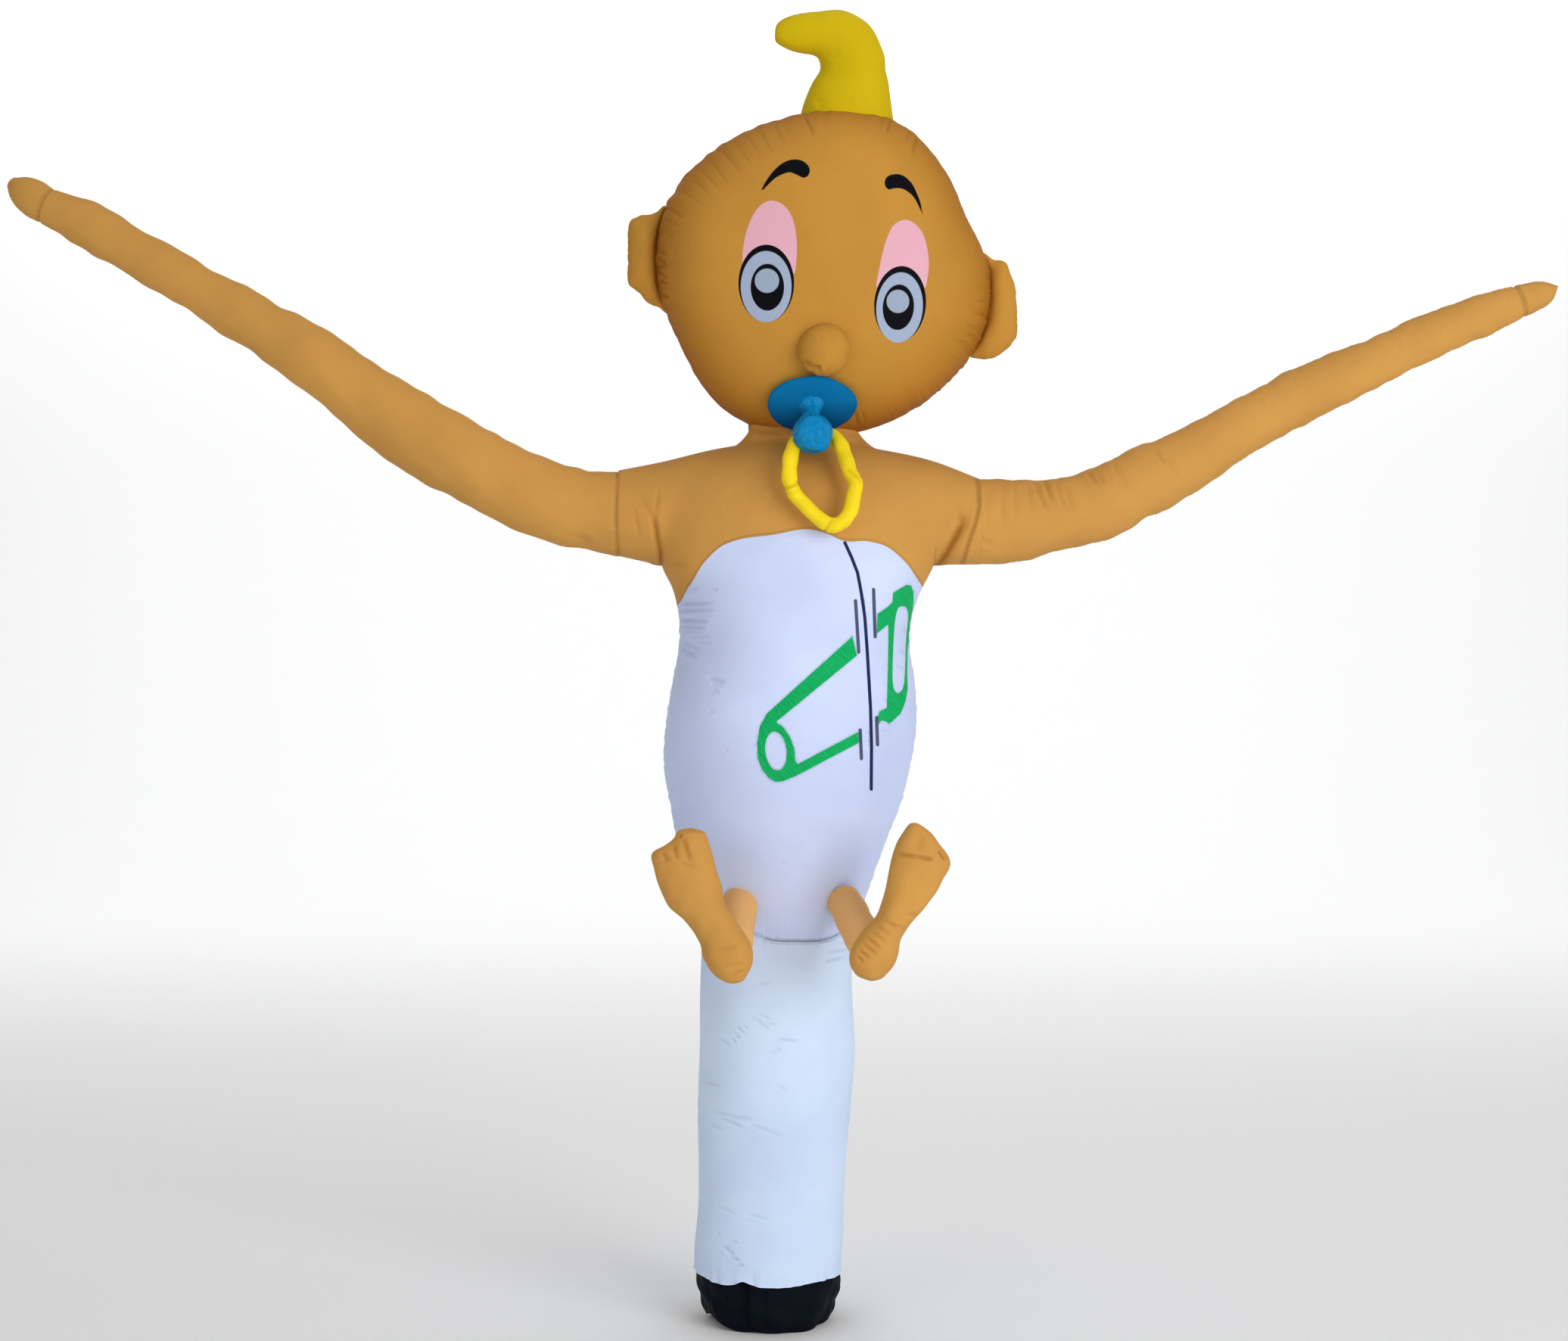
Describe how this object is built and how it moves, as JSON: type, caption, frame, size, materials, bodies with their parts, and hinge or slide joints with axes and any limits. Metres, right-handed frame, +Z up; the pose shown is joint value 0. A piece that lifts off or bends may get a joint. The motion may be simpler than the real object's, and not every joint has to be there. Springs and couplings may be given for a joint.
{
  "type": "inflatable air dancer",
  "caption": "Tall inflatable air dancer shaped as a baby in a nappy: open blower cuff, tube mast, round body, outstretched arms, big head with hair tuft, ears, nose and dummy, and small feet.",
  "frame": {"origin": "on the floor, under the middle of the arm span and of the depth", "axes": "+X to the figure's left hand as seen from the front on the right, +Y to its back, +Z up; the face looks along -Y"},
  "size_m": [4.698, 0.9381, 3.897],
  "materials": {
    "skin_nylon": "woven coated nylon, tan, slight sheen",
    "white_nylon": "woven coated nylon, cool white, slight sheen",
    "black_nylon": "woven coated nylon, black",
    "hair_nylon": "woven coated nylon, mustard yellow",
    "blue_nylon": "woven coated nylon, blue",
    "yellow_nylon": "woven coated nylon, golden yellow"
  },
  "bodies": {
    "root": {"base_cuff": "black_nylon", "mast_tube": "white_nylon", "nappy_front": "white_nylon", "nappy_back": "white_nylon", "chest_front": "skin_nylon", "chest_back": "skin_nylon", "arm_left": "skin_nylon", "arm_right": "skin_nylon", "head_front": "skin_nylon", "head_back": "skin_nylon", "hair_tuft": "hair_nylon", "ear_left": "skin_nylon", "ear_right": "skin_nylon", "nose": "skin_nylon", "leg_left": "skin_nylon", "leg_right": "skin_nylon", "foot_left": "skin_nylon", "foot_right": "skin_nylon", "dummy_shield": "blue_nylon", "dummy_knob": "blue_nylon", "dummy_ring": "yellow_nylon"}
  },
  "joints": []
}
